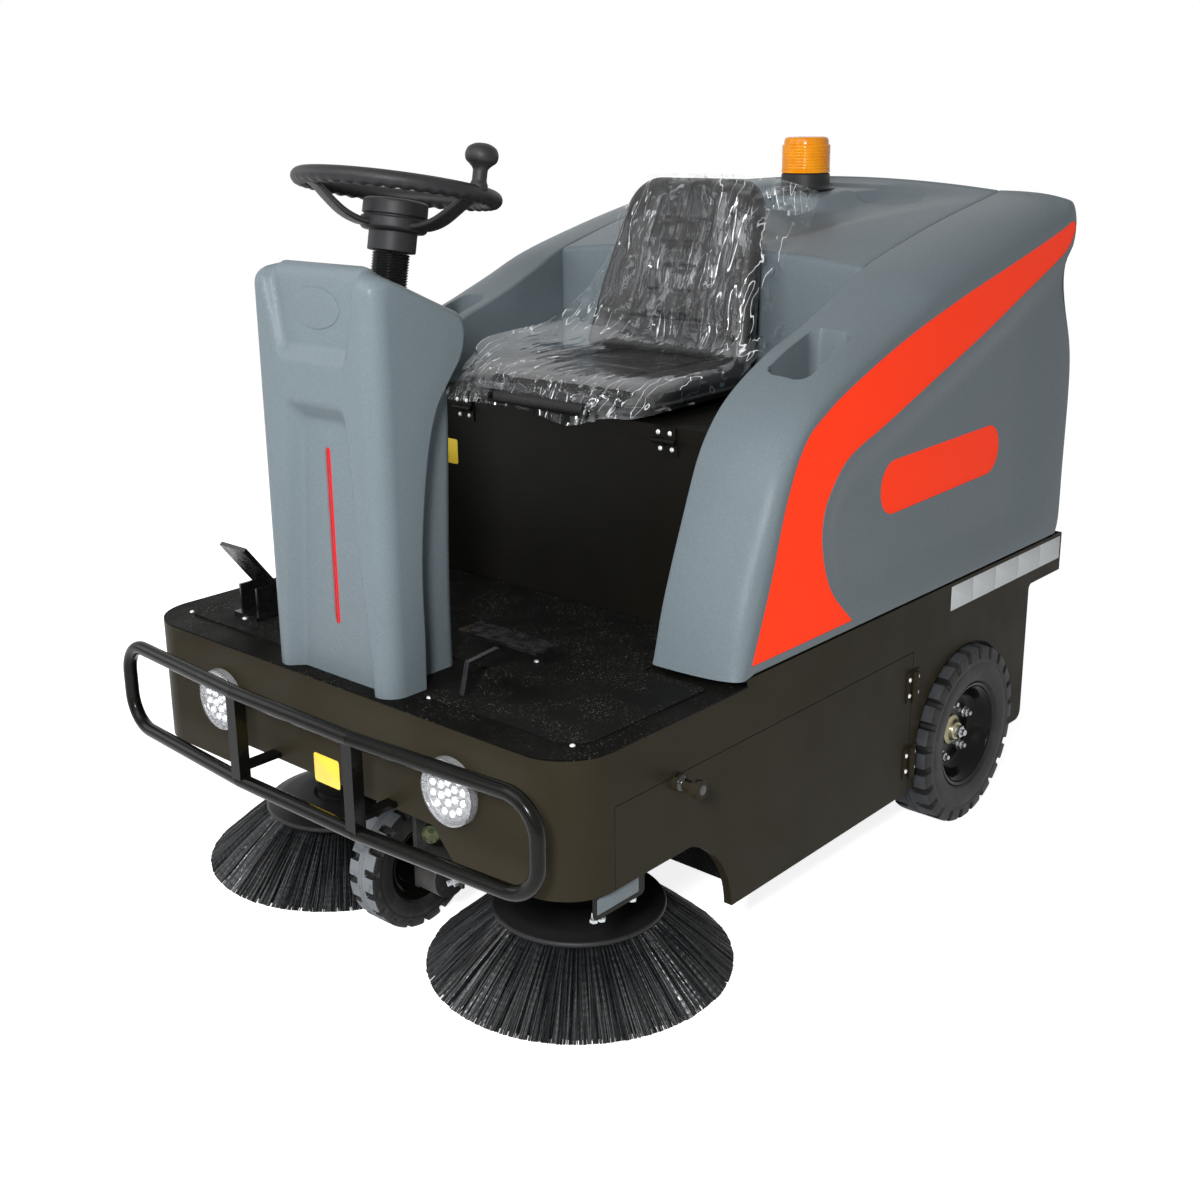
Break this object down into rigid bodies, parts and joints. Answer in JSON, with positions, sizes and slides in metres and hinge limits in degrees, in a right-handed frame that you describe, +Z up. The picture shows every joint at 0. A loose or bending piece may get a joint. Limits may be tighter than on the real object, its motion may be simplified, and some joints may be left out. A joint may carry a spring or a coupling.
{
  "type": "compact ride-on road sweeper",
  "caption": "Ride-on sweeping machine: steered front wheel, side brushes, roller brush and hopper, steering tower, seat, moulded rear covers, tube bar and warning beacon.",
  "frame": {"origin": "on the floor under the middle of the machine's bounding box", "axes": "+Z up, -Y towards the front, +X towards the driver's left"},
  "size_m": [1.18, 1.667, 1.3529],
  "materials": {
    "black_sheet": "satin powder coat",
    "black_tube": "gloss powder coat",
    "grey_moulding": "fine orange-peel moulded plastic",
    "mat_rubber": "matt",
    "lamp_chrome": "bright reflector",
    "clear_lens": "clear",
    "amber_lens": "amber",
    "black_plastic": "satin",
    "rim_paint": "gloss",
    "tyre_rubber": "matt, dusty tread",
    "brush_fibre": "crimped nylon",
    "seat_vinyl": "embossed vinyl",
    "bare_steel": "machined",
    "battery_case": "plain"
  },
  "bodies": {
    "chassis": {"chassis_frame": "black_sheet", "front_apron": "black_sheet", "deck_plate": "black_sheet", "floor_mat": "mat_rubber", "side_panel_left": "black_sheet", "side_panel_right": "black_sheet", "rear_frame": "black_sheet", "bull_bar": "black_tube", "lamp_housings": "lamp_chrome", "lamp_lenses": "clear_lens", "brush_motors": "black_sheet", "brush_tunnel": "black_sheet", "brush_flaps": "mat_rubber", "cover_arm_left": "grey_moulding", "cover_arm_right": "grey_moulding", "cover_hood": "grey_moulding", "steering_tower": "grey_moulding", "steering_boot": "black_plastic", "seat_box": "black_sheet", "battery_pack": "battery_case", "beacon_base": "black_plastic", "beacon_lens": "amber_lens", "brake_pedal": "black_sheet", "drive_pedal": "black_plastic"},
    "fork": {"steering_fork": "bare_steel"},
    "front_wheel": {"front_rim": "rim_paint", "front_tyre": "tyre_rubber"},
    "steering": {"steering_wheel": "black_plastic"},
    "seat": {"seat_lid": "black_sheet", "seat_pan": "black_sheet", "seat_cushion": "seat_vinyl", "seat_backrest": "seat_vinyl"},
    "door_left": {"door_left": "black_sheet"},
    "door_right": {"door_right": "black_sheet"},
    "rear_wheel_left": {"rear_rim_left": "rim_paint", "rear_tyre_left": "tyre_rubber"},
    "rear_wheel_right": {"rear_rim_right": "rim_paint", "rear_tyre_right": "tyre_rubber"},
    "side_brush_left": {"brush_disc_left": "black_plastic", "brush_bristles_left": "brush_fibre"},
    "side_brush_right": {"brush_disc_right": "black_plastic", "brush_bristles_right": "brush_fibre"},
    "main_brush": {"roller_core": "black_plastic", "roller_bristles": "brush_fibre"},
    "hopper": {"hopper": "black_sheet"}
  },
  "joints": [
    {"name": "fork_steer", "type": "hinge", "parent": "chassis", "child": "fork", "pos_m": [0, -0.58, 0.4], "axis": [0, 0, 1], "range_deg": [-40, 40]},
    {"name": "front_wheel_spin", "type": "hinge", "parent": "fork", "child": "front_wheel", "pos_m": [0, -0.58, 0.12], "axis": [1, 0, 0], "continuous": true},
    {"name": "steering_turn", "type": "hinge", "parent": "chassis", "child": "steering", "pos_m": [0, -0.542, 1.283], "axis": [0, 0.1908, 0.9816], "range_deg": [-120, 120]},
    {"name": "seat_tilt", "type": "hinge", "parent": "chassis", "child": "seat", "pos_m": [0, -0.18, 0.846], "axis": [1, 0, 0], "range_deg": [0, 55]},
    {"name": "door_left_swing", "type": "hinge", "parent": "chassis", "child": "door_left", "pos_m": [0.5465, 0.21575, 0.27], "axis": [0, 0, 1], "range_deg": [0, 100]},
    {"name": "door_right_swing", "type": "hinge", "parent": "chassis", "child": "door_right", "pos_m": [-0.5465, 0.21575, 0.27], "axis": [0, 0, -1], "range_deg": [0, 100]},
    {"name": "rear_wheel_left_spin", "type": "hinge", "parent": "chassis", "child": "rear_wheel_left", "pos_m": [0.51, 0.425, 0.182], "axis": [1, 0, 0], "continuous": true},
    {"name": "rear_wheel_right_spin", "type": "hinge", "parent": "chassis", "child": "rear_wheel_right", "pos_m": [-0.51, 0.425, 0.182], "axis": [1, 0, 0], "continuous": true},
    {"name": "side_brush_left_spin", "type": "hinge", "parent": "chassis", "child": "side_brush_left", "pos_m": [0.312, -0.48, 0.11], "axis": [0, 0, 1], "continuous": true},
    {"name": "side_brush_right_spin", "type": "hinge", "parent": "chassis", "child": "side_brush_right", "pos_m": [-0.312, -0.48, 0.11], "axis": [0, 0, 1], "continuous": true},
    {"name": "main_brush_spin", "type": "hinge", "parent": "chassis", "child": "main_brush", "pos_m": [0, 0.06, 0.145], "axis": [1, 0, 0], "continuous": true},
    {"name": "hopper_slide", "type": "slide", "parent": "chassis", "child": "hopper", "axis": [0, 1, 0], "range_m": [0, 0.38]}
  ],
  "couplings": [
    {"joint": "steering_turn", "follows": "fork_steer", "ratio": 3}
  ]
}
